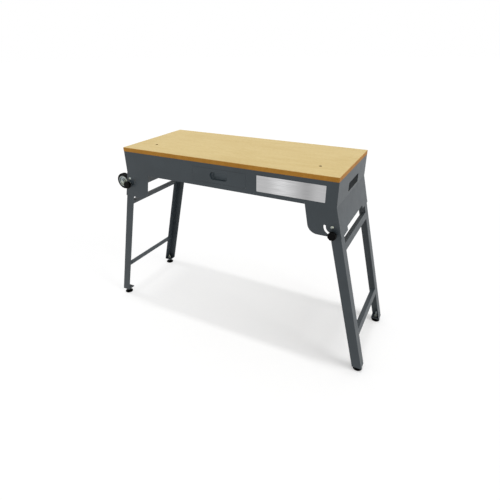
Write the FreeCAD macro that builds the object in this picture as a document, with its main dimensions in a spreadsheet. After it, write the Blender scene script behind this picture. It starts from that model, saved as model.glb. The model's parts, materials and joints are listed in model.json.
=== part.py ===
import FreeCAD, Part
import os
import re
import Sketcher
from FreeCAD import Rotation, Vector

# Folding workbench: sheet-steel casing with a plywood top, two leg frames that fold flat,
# a shallow drawer, a hand cut-out at the right end and two transport wheels at the left end.
# Origin: centre of the footprint on the floor. +X runs to the right end, -Y is the front.

# Driving sizes in millimetres and degrees. A drop is measured down from the top's underside.
SIZES = {
    "bench_height": 850,
    "cut_overrun": 5,
    # plywood top
    "worktop_length": 1000,
    "worktop_width": 428,
    "worktop_thickness": 18,
    "worktop_overhang": 1,
    "worktop_edge_break": 1,
    "tool_hole_spacing": 788,
    "tool_hole_from_centre": 107,
    "tool_hole_radius": 6,
    # casing of bent sheet
    "sheet_metal": 2,
    "top_flange": 16,
    "apron_drop": 101,
    "waist_drop": 96,
    "ear_drop": 216,
    "ear_root_inset": 123,
    "ear_taper": 22,
    "ear_corner_radius": 42,
    "end_notch_width": 242,
    "end_notch_rise": 16,
    "hand_hole_length": 148,
    "hand_hole_height": 36,
    "hand_hole_drop": 65,
    "hand_hole_offset": 10,
    "hand_hole_corner": 7,
    # screws that hold the top to the casing's flanges
    "screw_from_end": 35,
    "screw_radius": 2,
    "screw_bite": 12,
    "screw_head_radius": 4,
    "screw_head_height": 2.4,
    # leg frames of angle section
    "leg_lean": 14.25,
    "leg_width": 40,
    "leg_flange": 42,
    "leg_metal": 3,
    "leg_clearance": 0.6,
    "leg_side_gap": 0.5,
    "leg_flange_start": 5,
    "right_end_height": 18,
    "left_end_height": 28,
    "pivot_inset": 10,
    "right_pivot_drop": 175,
    "left_pivot_drop": 127,
    "bar_height": 30,
    "bar_depth": 20,
    "bar_metal": 3,
    "upper_bar_drop": 250,
    "lower_bar_top": 196,
    # pivot bolts
    "pivot_radius": 4,
    "pivot_head_radius": 6.5,
    "pivot_head_height": 4,
    "pivot_head_round": 2,
    "pivot_nut_radius": 7.5,
    "pivot_nut_height": 6.5,
    "pivot_tip": 2,
    "nut_gap": 0.3,
    "running_fit": 0.08,
    # clamp bolts, washers and knobs
    "clamp_reach": 29,
    "clamp_radius": 4,
    "clamp_head_radius": 9,
    "clamp_head_height": 4,
    "slot_play": 0.75,
    "washer_radius": 10,
    "washer_metal": 1.5,
    "washer_gap": 0.3,
    "knob_radius": 17,
    "knob_length": 22,
    "knob_neck_radius": 9.5,
    "knob_neck_length": 6,
    "knob_round": 3,
    "knob_flute_radius": 5,
    "knob_flute_depth": 1.6,
    "knob_flute_count": 8,
    "knob_bore_depth": 18.5,
    "clamp_grip": 15,
    # levelling feet
    "foot_from_side": 21.5,
    "foot_inset": 24.5,
    "foot_pad_radius": 20,
    "foot_pad_round": 1.5,
    "foot_pad_rim": 6,
    "foot_pad_height": 13,
    "foot_neck_radius": 9,
    "foot_stem_radius": 5,
    "foot_stem_seat": 5,
    "foot_stem_length": 45,
    "foot_tab_metal": 3,
    "foot_nut_radius": 9.5,
    "foot_nut_height": 8,
    # transport wheels and their brackets
    "wheel_radius": 37.5,
    "wheel_gap": 5.5,
    "wheel_drop": 75,
    "wheel_from_panel": 35,
    "wheel_side_gap": 0.4,
    "tyre_width": 22,
    "tyre_wall": 12,
    "tyre_crown": 6,
    "tyre_crown_rise": 2,
    "hub_width": 25,
    "hub_web": 8,
    "hub_rim": 3.5,
    "hub_taper": 2,
    "hub_boss_radius": 11,
    "bush_radius": 7.5,
    "axle_radius": 5,
    "axle_head_radius": 9.5,
    "axle_head_height": 6,
    "axle_nut_height": 8,
    "bracket_metal": 4,
    "bracket_length": 46,
    "bracket_width": 40,
    "bracket_nose": 12,
    "bracket_nose_round": 15,
    "bracket_bolt_radius": 3,
    "bracket_bolt_spacing": 28,
    "bracket_head_radius": 5.5,
    "bracket_head_height": 4,
    # drawer and its runners
    "drawer_front_length": 252,
    "drawer_front_height": 61,
    "drawer_front_drop": 20,
    "drawer_gap": 0.5,
    "drawer_metal": 1.2,
    "drawer_depth": 360,
    "drawer_height": 50,
    "drawer_base_rise": 5.5,
    "slide_bar": 8,
    "slide_play": 0.4,
    "runner_depth": 9,
    "runner_metal": 1.5,
    "runner_end_gap": 1,
    # drawer pull, a pan behind a cut-out in the front, with room above it for fingertips
    "pull_length": 84,
    "pull_height": 32,
    "pull_drop": 34,
    "pull_corner": 15,
    "pull_depth": 14,
    "pull_hook": 4,
    "pull_round": 5,
    "pull_wall": 1.6,
    # plate on the front, left bare
    "plate_length": 280,
    "plate_height": 65,
    "plate_metal": 1,
    "plate_corner": 2,
    "plate_from_end": 185,
    "plate_drop": 18.5,
}

# Places worked out from the driving sizes, as formula cells of a second sheet.
PLACES = {
    "deck": "bench_height - worktop_thickness",
    "screw_span": "worktop_length - 2 * screw_from_end",
    "half_length": "worktop_length / 2",
    "half_width": "worktop_width / 2 - worktop_overhang",
    "panel_inner": "half_width - sheet_metal",
    "waist": "deck - waist_drop",
    "apron_bottom": "deck - apron_drop",
    "ear_bottom": "deck - ear_drop",
    "lean_tan": "tan(leg_lean * 1deg)",
    "lean_cos": "cos(leg_lean * 1deg)",
    "lean_sin": "sin(leg_lean * 1deg)",
    "ear_tip": "half_length + (waist - ear_bottom) * lean_tan",
    "inner_waist": "waist - sheet_metal * (1 / lean_cos - 1) / lean_tan",
    "fold_angle": "90 + leg_lean",
    "pivot_x": "half_length - pivot_inset",
    "right_pivot_z": "deck - right_pivot_drop",
    "left_pivot_z": "deck - left_pivot_drop",
    "plate_stand": "sheet_metal + leg_clearance",
    "right_reach": "(pivot_inset + (waist - right_pivot_z) * lean_tan) * lean_cos - plate_stand",
    "left_reach": "(pivot_inset + (waist - left_pivot_z) * lean_tan) * lean_cos - plate_stand",
    "leg_outer_y": "panel_inner - leg_side_gap",
    "leg_inner_y": "leg_outer_y - leg_metal",
    "bar_half": "leg_outer_y - leg_flange",
    "upper_bar_top": "deck - upper_bar_drop",
    "leg_floor_x": "half_length + waist * lean_tan - plate_stand / lean_cos",
    "foot_x": "leg_floor_x - foot_inset",
    "foot_y": "leg_outer_y - foot_from_side",
    "clamp_x": "pivot_x + clamp_reach * lean_sin",
    "clamp_lower": "clamp_reach * lean_cos",
    "slot_half": "clamp_radius + slot_play",
    "washer_y": "half_width + washer_gap",
    "knob_y": "washer_y + washer_metal",
    "wheel_stand": "wheel_radius + wheel_gap",
    "wheel_x": "half_length + wheel_stand * lean_cos + wheel_drop * lean_sin",
    "wheel_z": "waist + wheel_stand * lean_sin - wheel_drop * lean_cos",
    "wheel_y": "half_width - wheel_from_panel",
    "axle_y": "wheel_y + hub_width / 2 + wheel_side_gap",
    "bracket_y": "wheel_y - hub_width / 2 - wheel_side_gap",
    "bracket_bolt_y": "bracket_y - (bracket_width + bracket_metal) / 2",
    "front_top": "deck - drawer_front_drop",
    "front_bottom": "front_top - drawer_front_height",
    "tray_bottom": "front_bottom + drawer_base_rise",
    "tray_top": "tray_bottom + drawer_height",
    "tray_half": "drawer_front_length / 2 - slide_bar - 2 * runner_metal",
    "runner_x": "tray_half + slide_bar + slide_play",
    "runner_half": "panel_inner - top_flange - runner_end_gap",
    "pull_top": "deck - pull_drop",
    "pull_bottom": "pull_top - pull_height",
    "plate_x": "half_length - plate_from_end",
    "plate_top": "deck - plate_drop",
}

doc = FreeCAD.newDocument("folding_workbench")
sizes = doc.addObject("Spreadsheet::Sheet", "sizes")
places = doc.addObject("Spreadsheet::Sheet", "places")
PARTS = []


def link(text, here=""):
    """Turn the plain names in a formula into references to the two sheets."""
    def refer(match):
        word = match.group()
        if word in SIZES:
            return "sizes." + word
        return here + word if word in PLACES else word
    return re.sub(r"[a-z][a-z_]*", refer, text)


def formula(text):
    return link(text, "places.")


def value(text):
    return float(sizes.evalExpression(formula(text)))


for row, (alias, number) in enumerate(SIZES.items(), start=1):
    sizes.set(f"A{row}", alias)
    sizes.set(f"B{row}", str(number))
    sizes.setAlias(f"B{row}", alias)
doc.recompute()
for row, (alias, text) in enumerate(PLACES.items(), start=1):
    places.set(f"A{row}", alias)
    places.set(f"B{row}", "=" + link(text))
    places.setAlias(f"B{row}", alias)
    doc.recompute()

ACROSS_X = Vector(1, 0, 0)
ACROSS_Y = Vector(0, 1, 0)
ALONG_Z = Rotation()
ALONG_X = Rotation(ACROSS_Y, 90)
ALONG_Y = Rotation(ACROSS_X, -90)
TOWARD_FRONT = Rotation(ACROSS_X, 90)
LEANING = Rotation(ACROSS_Y, -value("leg_lean"))
SAME = 1e-6


# Building functions. Every size that they take is a formula in named sizes.
def bind(thing, **formulas):
    for name, text in formulas.items():
        thing.setExpression(name, formula(text))
    return thing


def seat(thing, x="0", y="0", z="0", turn=None):
    if turn is not None:
        thing.Placement = FreeCAD.Placement(Vector(), turn)
    for axis, text in zip("xyz", (x, y, z)):
        thing.setExpression(f"Placement.Base.{axis}", formula(text))
    return thing


def keep(part, label):
    part.Label = label
    PARTS.append(part)
    return part


def block(name, low, size):
    box = bind(doc.addObject("Part::Box", name), Length=size[0], Width=size[1], Height=size[2])
    return seat(box, *low)


def rod(name, radius, length, start, turn=ALONG_Z):
    cylinder = bind(doc.addObject("Part::Cylinder", name), Radius=radius, Height=length)
    return seat(cylinder, *start, turn=turn)


def hexagon(name, radius, length, start, turn=ALONG_Z):
    prism = bind(doc.addObject("Part::Prism", name), Circumradius=radius, Height=length)
    prism.Polygon = 6
    return seat(prism, *start, turn=turn)


def join(name, shapes):
    joined = doc.addObject("Part::MultiFuse", name)
    joined.Shapes = shapes
    joined.Refine = True
    return joined


def remove(name, base, tools):
    cut = doc.addObject("Part::Cut", name)
    cut.Base = base
    cut.Tool = tools[0] if len(tools) == 1 else join(name + "_tools", tools)
    cut.Refine = True
    return cut


def mirror(name, source, normal):
    image = doc.addObject("Part::Mirroring", name)
    image.Source = source
    image.Normal = normal
    return image


def group(name, shapes):
    """Separate solids that share one node, such as like fasteners."""
    together = doc.addObject("Part::Compound", name)
    together.Links = shapes
    return together


def both(name, source, normal):
    return group(name, [source, mirror(name + "_image", source, normal)])


def sketch_on(body, name, role):
    sketch = body.newObject("Sketcher::SketchObject", name)
    plane = next(item for item in body.Origin.OriginFeatures if item.Role == role)
    sketch.AttachmentSupport = [(plane, "")]
    sketch.MapMode = "FlatFace"
    return sketch


def dimension(sketch, kind, places_held, number, text):
    held = sketch.addConstraint(Sketcher.Constraint(kind, *places_held, number))
    sketch.setExpression(f"Constraints[{held}]", formula(text))


def outline(body, name, role, corners):
    """Closed outline of straight edges, each corner held by two dimensions from the origin."""
    sketch = sketch_on(body, name, role)
    spots = [Vector(value(across), value(up), 0) for across, up in corners]
    for spot, following in zip(spots, spots[1:] + spots[:1]):
        sketch.addGeometry(Part.LineSegment(spot, following))
    for index, (spot, (across, up)) in enumerate(zip(spots, corners)):
        before = (index - 1) % len(spots)
        sketch.addConstraint(Sketcher.Constraint("Coincident", before, 2, index, 1))
        dimension(sketch, "DistanceX", (-1, 1, index, 1), spot.x, across)
        dimension(sketch, "DistanceY", (-1, 1, index, 1), spot.y, up)
    return sketch


def circles(body, name, role, discs):
    """Circles, each given as its centre across, its centre up and its radius."""
    sketch = sketch_on(body, name, role)
    for index, (across, up, radius) in enumerate(discs):
        centre = Vector(value(across), value(up), 0)
        sketch.addGeometry(Part.Circle(centre, Vector(0, 0, 1), value(radius)))
        dimension(sketch, "DistanceX", (-1, 1, index, 3), centre.x, across)
        dimension(sketch, "DistanceY", (-1, 1, index, 3), centre.y, up)
        dimension(sketch, "Radius", (index,), value(radius), radius)
    return sketch


def pad(body, sketch, length, midplane=False):
    feature = body.newObject("PartDesign::Pad", body.Name + "_pad")
    feature.Profile = sketch
    feature.Midplane = midplane
    return bind(feature, Length=length)


def pocket(body, sketch, reach):
    """Cut a sketch through on both sides of its plane."""
    feature = body.newObject("PartDesign::Pocket", sketch.Name + "_pocket")
    feature.Profile = sketch
    feature.Midplane = True
    return bind(feature, Length=f"2 * ({reach} + cut_overrun)")


def is_straight(edge):
    return edge.Curve.TypeId == "Part::GeomLine"


def runs_along(edge, direction):
    return is_straight(edge) and edge.tangentAt(edge.FirstParameter).cross(direction).Length < SAME


def dress(body, kind, name, wanted, **size):
    """Fillet or chamfer those edges of a body that pass a test."""
    doc.recompute()
    finished = body.Tip
    edges = [f"Edge{index}" for index, edge in enumerate(finished.Shape.Edges, start=1) if wanted(edge)]
    feature = body.newObject("PartDesign::" + kind, name)
    feature.Base = (finished, edges)
    return bind(feature, **size)


def plate(name, role, low, high, thickness, corner, accept=lambda middle: True):
    """Flat plate on one of the origin planes, its corners rounded."""
    body = doc.addObject("PartDesign::Body", name)
    corners = [low, (high[0], low[1]), high, (low[0], high[1])]
    pad(body, outline(body, name + "_outline", role, corners), thickness)
    through = ACROSS_X if role == "YZ_Plane" else ACROSS_Y
    dress(body, "Fillet", name + "_corners",
          lambda edge: runs_along(edge, through) and accept(edge.CenterOfMass), Radius=corner)
    return body


def revolve(name, profile):
    """Solid of revolution about its own Z axis, from corners given as radius and height."""
    body = doc.addObject("PartDesign::Body", name)
    sketch = outline(body, name + "_profile", "XZ_Plane", profile)
    turned = body.newObject("PartDesign::Revolution", name + "_turned")
    turned.Profile = sketch
    turned.ReferenceAxis = (sketch, ["V_Axis"])
    turned.Angle = 360
    return body


# Plywood top and the screws that hold it.
SCREW_SPAN_SHARES = (-1 / 2, -1 / 6, 1 / 6, 1 / 2)
SIDE_SCREWS = [(f"{share} * screw_span", f"{side}(panel_inner - top_flange / 2)")
               for side in ("-", "") for share in SCREW_SPAN_SHARES]
END_SCREWS = [(f"{side}(half_length - top_flange / 2)", "0") for side in ("-", "")]


def screw_holes(name, spots):
    return [rod(f"{name}_{index}", "screw_radius", "sheet_metal + 2 * cut_overrun",
                (x, y, "deck - sheet_metal - cut_overrun")) for index, (x, y) in enumerate(spots)]


def worktop():
    body = doc.addObject("PartDesign::Body", "worktop_sheet")
    left, front = "-worktop_length / 2", "-worktop_width / 2"
    right, back = "worktop_length / 2", "worktop_width / 2"
    corners = [(left, front), (right, front), (right, back), (left, back)]
    pad(body, outline(body, "worktop_outline", "XY_Plane", corners), "worktop_thickness")
    holes = [(side + "tool_hole_spacing / 2", "-tool_hole_from_centre", "tool_hole_radius")
             for side in ("-", "")]
    doc.recompute()
    pocket(body, circles(body, "tool_holes", "XY_Plane", holes), "worktop_thickness")
    middle = value("worktop_thickness / 2")
    dress(body, "Chamfer", "worktop_rim", lambda edge: is_straight(edge) and edge.CenterOfMass.z > middle,
          Size="worktop_edge_break")
    seat(body, z="deck")
    pilots = [rod(f"pilot_{index}", "screw_radius", "screw_bite + cut_overrun",
                  (x, y, "deck - cut_overrun"))
              for index, (x, y) in enumerate(SIDE_SCREWS + END_SCREWS)]
    keep(remove("worktop_drilled", body, pilots), "worktop")


def worktop_screws():
    screws = []
    for index, (x, y) in enumerate(SIDE_SCREWS + END_SCREWS):
        shank = rod(f"screw_shank_{index}", "screw_radius", "sheet_metal + screw_bite",
                    (x, y, "deck - sheet_metal"))
        head = rod(f"screw_head_{index}", "screw_head_radius", "screw_head_height",
                   (x, y, "deck - sheet_metal - screw_head_height"))
        screws.append(join(f"screw_{index}", [shank, head]))
    keep(group("screws", screws), "worktop_screws")


# Casing: two long panels with ears, and two end plates between them.
def arc_slot(name, x, z, start):
    """Tool for the slot that a clamp bolt follows while its leg frame folds."""
    depth = "sheet_metal + 2 * cut_overrun"
    outer = bind(doc.addObject("Part::Cylinder", name + "_outer"), Radius="clamp_reach + slot_half",
                 Height=depth, Angle="fold_angle")
    inner = bind(doc.addObject("Part::Cylinder", name + "_inner"), Radius="clamp_reach - slot_half",
                 Height=depth)
    folded = ("clamp_reach * cos(fold_angle * 1deg)", "clamp_reach * sin(fold_angle * 1deg)", "0")
    ends = [rod(name + "_start", "slot_half", depth, ("clamp_reach", "0", "0")),
            rod(name + "_end", "slot_half", depth, folded)]
    slot = join(name, [remove(name + "_ring", outer, [inner])] + ends)
    turn = TOWARD_FRONT.multiply(Rotation(Vector(0, 0, 1), start))
    return seat(slot, x, "-panel_inner + cut_overrun", z, turn=turn)


def long_panel(name, with_window):
    """Apron with an ear at each end, built as the front panel."""
    body = doc.addObject("PartDesign::Body", name + "_sheet")
    right = [("half_length", "deck"), ("half_length", "waist"), ("ear_tip", "ear_bottom"),
             ("half_length - ear_root_inset + ear_taper", "ear_bottom"),
             ("half_length - ear_root_inset", "apron_bottom")]
    left = [(f"-({across})", up) for across, up in reversed(right)]
    pad(body, outline(body, name + "_outline", "XZ_Plane", right + left), "sheet_metal")
    doc.recompute()
    pivots = [("pivot_x", "right_pivot_z", "pivot_radius"), ("-pivot_x", "left_pivot_z", "pivot_radius")]
    pocket(body, circles(body, name + "_pivot_holes", "XZ_Plane", pivots), "sheet_metal")
    if with_window:
        across = "(drawer_front_length / 2 + drawer_gap)"
        sill, head = "front_bottom - drawer_gap", "front_top + drawer_gap"
        window = [("-" + across, sill), (across, sill), (across, head), ("-" + across, head)]
        doc.recompute()
        pocket(body, outline(body, name + "_window", "XZ_Plane", window), "sheet_metal")
    low, end = value("ear_bottom + ear_corner_radius"), value("half_length")
    dress(body, "Fillet", name + "_ear_corners",
          lambda edge: (runs_along(edge, ACROSS_Y) and edge.CenterOfMass.z < low
                        and abs(edge.CenterOfMass.x) < end), Radius="ear_corner_radius")
    seat(body, y="-panel_inner")
    flange = block(name + "_flange", ("-half_length + sheet_metal", "-panel_inner", "deck - sheet_metal"),
                   ("2 * (half_length - sheet_metal)", "top_flange", "sheet_metal"))
    tools = screw_holes(name + "_screw_hole", SIDE_SCREWS[:len(SCREW_SPAN_SHARES)])
    tools.append(arc_slot(name + "_right_slot", "pivot_x", "right_pivot_z", 180))
    tools.append(arc_slot(name + "_left_slot", "-pivot_x", "left_pivot_z", 270 - value("leg_lean")))
    return remove(name + "_cut", join(name + "_blank", [body, flange]), tools)


def end_plate(name):
    """Plate that is upright to the waist and then leans out, built at the right end."""
    body = doc.addObject("PartDesign::Body", name + "_sheet")
    profile = [("half_length", "deck"), ("half_length", "waist"), ("ear_tip", "ear_bottom"),
               ("ear_tip - sheet_metal / lean_cos", "ear_bottom"),
               ("half_length - sheet_metal", "inner_waist"), ("half_length - sheet_metal", "deck")]
    pad(body, outline(body, name + "_profile", "XZ_Plane", profile), "2 * panel_inner", midplane=True)
    across = "(panel_inner - top_flange)"
    flange = block(name + "_flange", ("half_length - top_flange", "-" + across, "deck - sheet_metal"),
                   ("top_flange", "2 * " + across, "sheet_metal"))
    notch = block(name + "_notch", ("half_length", "-end_notch_width / 2", "ear_bottom - cut_overrun"),
                  ("ear_tip - half_length + cut_overrun", "end_notch_width", "end_notch_rise + cut_overrun"))
    tools = [notch] + screw_holes(name + "_screw_hole", END_SCREWS[1:])
    return remove(name + "_cut", join(name + "_blank", [body, flange]), tools)


def casing():
    keep(long_panel("front_panel", with_window=True), "front_panel")
    keep(mirror("rear_panel", long_panel("plain_panel", with_window=False), ACROSS_Y), "back_panel")
    middle = "(deck - hand_hole_drop)"
    hole = plate("hand_hole", "YZ_Plane",
                 ("hand_hole_offset - hand_hole_length / 2", middle + " - hand_hole_height / 2"),
                 ("hand_hole_offset + hand_hole_length / 2", middle + " + hand_hole_height / 2"),
                 "sheet_metal + 2 * cut_overrun", "hand_hole_corner")
    seat(hole, x="half_length - sheet_metal - cut_overrun")
    keep(remove("right_plate_holed", end_plate("right_plate"), [hole]), "right_end_plate")
    bolts = [rod(f"left_plate_bolt_{number}", "bracket_bolt_radius", "sheet_metal + 2 * cut_overrun",
                 ("-sheet_metal - cut_overrun", f"{row}bracket_bolt_y",
                  f"-wheel_drop {step} bracket_bolt_spacing / 2"), ALONG_X)
             for number, (row, step) in enumerate(BRACKET_BOLTS)]
    drill = seat(join("left_plate_drill", bolts), "half_length", "0", "waist", turn=LEANING)
    left = remove("left_plate_holed", end_plate("left_plate"), [drill])
    keep(mirror("left_plate_image", left, ACROSS_X), "left_end_plate")


BRACKET_BOLTS = [(row, step) for row in ("-", "") for step in ("-", "+")]


def name_plate():
    low = ("plate_x - plate_length / 2", "plate_top - plate_height")
    high = ("plate_x + plate_length / 2", "plate_top")
    keep(seat(plate("bare_plate", "XZ_Plane", low, high, "plate_metal", "plate_corner"), y="-half_width"),
         "name_plate")


# Leg frames, built at the front right and mirrored to the other corners.
def leg(name, reach, pivot_z, end_height):
    """Angle section with an eye about its pivot, made upright on the pivot and then leant."""
    inner = f"(leg_width - {reach})"
    length = f"{pivot_z} / lean_cos"
    web = block(name + "_web", ("-" + inner, "-leg_outer_y", "-" + length),
                ("leg_width", "leg_metal", length))
    flange = block(name + "_flange", (reach + " - leg_metal", "-leg_outer_y", "-" + length),
                   ("leg_metal", "leg_flange", length + " - leg_flange_start"))
    eye = doc.addObject("Part::Common", name + "_eye")
    eye.Base = rod(name + "_eye_disc", reach, "leg_metal", ("0", "-leg_outer_y", "0"), ALONG_Y)
    eye.Tool = block(name + "_eye_room", ("-" + inner, "-leg_outer_y", "-leg_metal"),
                     ("leg_width", "leg_metal", reach + " + leg_metal"))
    depth, behind = "leg_metal + 2 * cut_overrun", "-leg_outer_y - cut_overrun"
    holes = [rod(name + "_pivot_hole", "pivot_radius + running_fit", depth, ("0", behind, "0"), ALONG_Y),
             rod(name + "_clamp_hole", "clamp_radius", depth, ("0", behind, "-clamp_reach"), ALONG_Y)]
    angle = remove(name + "_drilled", join(name + "_blank", [web, eye, flange]), holes)
    seat(angle, "pivot_x", "0", pivot_z, turn=LEANING)
    floor = block(name + "_floor", ("0", "-half_width", "-bench_height"),
                  ("2 * leg_floor_x", "2 * half_width", "bench_height + " + end_height))
    return remove(name + "_cut", angle, [floor])


def foot_tab(name, end_height):
    """Plate welded into the bottom of a leg's angle, with a hole for the foot's stem."""
    spot = ("foot_x", "-foot_y", end_height + " - cut_overrun")
    inner = f"leg_floor_x - {end_height} * lean_tan - leg_width / lean_cos"
    length = "(leg_width - leg_metal) / lean_cos - foot_tab_metal * lean_tan"
    sheet = block(name + "_plate", (inner, "-leg_inner_y", end_height),
                  (length, "leg_flange - leg_metal", "foot_tab_metal"))
    hole = rod(name + "_hole", "foot_stem_radius + running_fit", "foot_tab_metal + 2 * cut_overrun", spot)
    return remove(name + "_holed", sheet, [hole])


def foot_nut(name, end_height):
    low = end_height + " + foot_tab_metal"
    nut = hexagon(name + "_body", "foot_nut_radius", "foot_nut_height", ("foot_x", "-foot_y", low))
    bore = rod(name + "_bore", "foot_stem_radius + running_fit", "foot_nut_height + 2 * cut_overrun",
               ("foot_x", "-foot_y", low + " - cut_overrun"))
    return remove(name + "_bored", nut, [bore])


def clamp_bolt(name, pivot_z):
    """Bolt with its head inside the leg and its shank out through the slot to the knob."""
    z = pivot_z + " - clamp_lower"
    shank = rod(name + "_shank", "clamp_radius", "knob_y + clamp_grip - leg_inner_y",
                ("clamp_x", "-knob_y - clamp_grip", z), ALONG_Y)
    head = rod(name + "_head", "clamp_head_radius", "clamp_head_height",
               ("clamp_x", "-leg_inner_y", z), ALONG_Y)
    return join(name, [shank, head])


def crossbar(name, top):
    """Angle between the legs, its face flush with theirs and its ledge turned inward."""
    face = block(name + "_face", ("-bar_metal", "-bar_half", "-bar_height"),
                 ("bar_metal", "2 * bar_half", "bar_height"))
    ledge = block(name + "_ledge", ("-bar_depth", "-bar_half", "-bar_metal"),
                  ("bar_depth", "2 * bar_half", "bar_metal"))
    return seat(join(name, [face, ledge]), f"leg_floor_x - {top} * lean_tan", "0", top, turn=LEANING)


def leg_frame(side, reach, pivot_z, end_height):
    pieces = {"leg": leg(side + "_leg", reach, pivot_z, end_height),
              "foot_tab": foot_tab(side + "_foot_tab", end_height),
              "foot_nut": foot_nut(side + "_foot_nut", end_height),
              "clamp_bolt": clamp_bolt(side + "_clamp_bolt", pivot_z),
              "upper_crossbar": crossbar(side + "_upper_bar", "upper_bar_top"),
              "lower_crossbar": crossbar(side + "_lower_bar", "lower_bar_top")}
    if side == "left":
        pieces = {kind: mirror(f"{kind}_at_left", piece, ACROSS_X) for kind, piece in pieces.items()}
    keep(pieces["leg"], f"front_{side}_leg")
    keep(mirror(f"{side}_leg_at_back", pieces["leg"], ACROSS_Y), f"back_{side}_leg")
    for kind in ("upper_crossbar", "lower_crossbar"):
        keep(pieces[kind], f"{side}_{kind}")
    for kind in ("foot_tab", "foot_nut", "clamp_bolt"):
        keep(both(f"{side}_{kind}_pair", pieces[kind], ACROSS_Y), f"{side}_{kind}s")


# Fasteners and knobs at the leg pivots.
PIVOTS = (("right", "", "right_pivot_z"), ("left", "-", "left_pivot_z"))


def pivot_fasteners():
    bolts, nuts = [], []
    for side, sign, pivot_z in PIVOTS:
        x = sign + "pivot_x"
        shank = rod(side + "_pivot_shank", "pivot_radius",
                    "half_width - leg_inner_y + nut_gap + pivot_nut_height + pivot_tip",
                    (x, "-half_width", pivot_z), ALONG_Y)
        dome = [("0", "0"), ("pivot_head_radius", "0"),
                ("pivot_head_radius", "pivot_head_height - pivot_head_round"),
                ("pivot_head_radius - pivot_head_round", "pivot_head_height"), ("0", "pivot_head_height")]
        head = seat(revolve(side + "_pivot_head", dome), x, "-half_width", pivot_z, turn=TOWARD_FRONT)
        bolt = join(side + "_pivot_bolt", [shank, head])
        nut = hexagon(side + "_pivot_nut_body", "pivot_nut_radius", "pivot_nut_height",
                      (x, "-leg_inner_y + nut_gap", pivot_z), ALONG_Y)
        bore = rod(side + "_pivot_nut_bore", "pivot_radius", "pivot_nut_height + 2 * cut_overrun",
                   (x, "-leg_inner_y + nut_gap - cut_overrun", pivot_z), ALONG_Y)
        nut = remove(side + "_pivot_nut", nut, [bore])
        bolts += [bolt, mirror(side + "_pivot_bolt_back", bolt, ACROSS_Y)]
        nuts += [nut, mirror(side + "_pivot_nut_back", nut, ACROSS_Y)]
    keep(group("leg_pivot_bolts", bolts), "pivot_bolts")
    keep(group("leg_pivot_nuts", nuts), "pivot_nuts")


def knob(name):
    """Fluted knob on its own Z axis, from its neck at height zero to its face."""
    bore = "clamp_radius + running_fit"
    profile = [(bore, "0"), ("knob_neck_radius", "0"), ("knob_neck_radius", "knob_neck_length"),
               ("knob_radius - knob_round", "knob_neck_length"),
               ("knob_radius", "knob_neck_length + knob_round"), ("knob_radius", "knob_length - knob_round"),
               ("knob_radius - knob_round", "knob_length"), ("0", "knob_length"),
               ("0", "knob_bore_depth"), (bore, "knob_bore_depth")]
    body = revolve(name, profile)
    doc.recompute()
    flute = circles(body, name + "_flute", "XY_Plane",
                    [("knob_radius + knob_flute_radius - knob_flute_depth", "0", "knob_flute_radius")])
    cut = pocket(body, flute, "knob_length")
    flutes = body.newObject("PartDesign::PolarPattern", name + "_flutes")
    flutes.Originals = [cut]
    flutes.Axis = (next(item for item in body.Origin.OriginFeatures if item.Role == "Z_Axis"), [""])
    flutes.Angle = 360
    bind(flutes, Occurrences="knob_flute_count")
    body.Tip = flutes
    return body


def knobs():
    for side, sign, pivot_z in PIVOTS:
        x, z = sign + "clamp_x", pivot_z + " - clamp_lower"
        for row, face, turn in (("front", "-", TOWARD_FRONT), ("back", "", ALONG_Y)):
            name = f"{row}_{side}"
            keep(seat(knob(name + "_grip"), x, face + "knob_y", z, turn=turn), name + "_knob")
            disc = rod(name + "_disc", "washer_radius", "washer_metal", ("0", "0", "0"))
            hole = rod(name + "_disc_hole", "clamp_radius + running_fit", "washer_metal + 2 * cut_overrun",
                       ("0", "0", "-cut_overrun"))
            washer = remove(name + "_ring", disc, [hole])
            keep(seat(washer, x, face + "washer_y", z, turn=turn), name + "_washer")


def levelling_feet():
    """Moulded pads, each with a threaded stem standing in it."""
    profile = [("0", "0"), ("foot_pad_radius - foot_pad_round", "0"), ("foot_pad_radius", "foot_pad_round"),
               ("foot_pad_radius", "foot_pad_rim"), ("foot_neck_radius", "foot_pad_height"),
               ("foot_stem_radius", "foot_pad_height"), ("foot_stem_radius", "foot_stem_seat"),
               ("0", "foot_stem_seat")]
    for side, sign in (("right", ""), ("left", "-")):
        for row, face in (("front", "-"), ("back", "")):
            name, spot = f"{row}_{side}_foot", (sign + "foot_x", face + "foot_y")
            keep(seat(revolve(name + "_moulding", profile), *spot), name + "_pad")
            keep(rod(name + "_rod", "foot_stem_radius", "foot_stem_length", (*spot, "foot_stem_seat")),
                 name + "_stem")


# Transport wheels outside the left end plate. Brackets are built at the front right and mirrored.
def wheel_bracket():
    """Base on the leaning plate and an arm beside the wheel."""
    low, high = "-wheel_drop - bracket_length / 2", "-wheel_drop + bracket_length / 2"
    base = block("bracket_base", ("0", "-bracket_y", low),
                 ("bracket_metal", "bracket_width", "bracket_length"))
    stand = value("wheel_stand")
    arm = plate("bracket_arm", "XZ_Plane", ("0", low), ("wheel_stand + bracket_nose", high), "bracket_metal",
                "bracket_nose_round", lambda spot: spot.x > stand)
    seat(arm, y="-bracket_y + bracket_metal")
    holes = [rod("bracket_axle_hole", "axle_radius", "bracket_metal + 2 * cut_overrun",
                 ("wheel_stand", "-bracket_y - cut_overrun", "-wheel_drop"), ALONG_Y)]
    for number, step in enumerate("-+"):
        spot = ("-cut_overrun", "-bracket_bolt_y", f"-wheel_drop {step} bracket_bolt_spacing / 2")
        holes.append(rod(f"bracket_hole_{number}", "bracket_bolt_radius",
                         "bracket_metal + 2 * cut_overrun", spot, ALONG_X))
    bracket = remove("bracket_drilled", join("bracket_blank", [base, arm]), holes)
    return seat(bracket, "half_length", "0", "waist", turn=LEANING)


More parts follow.
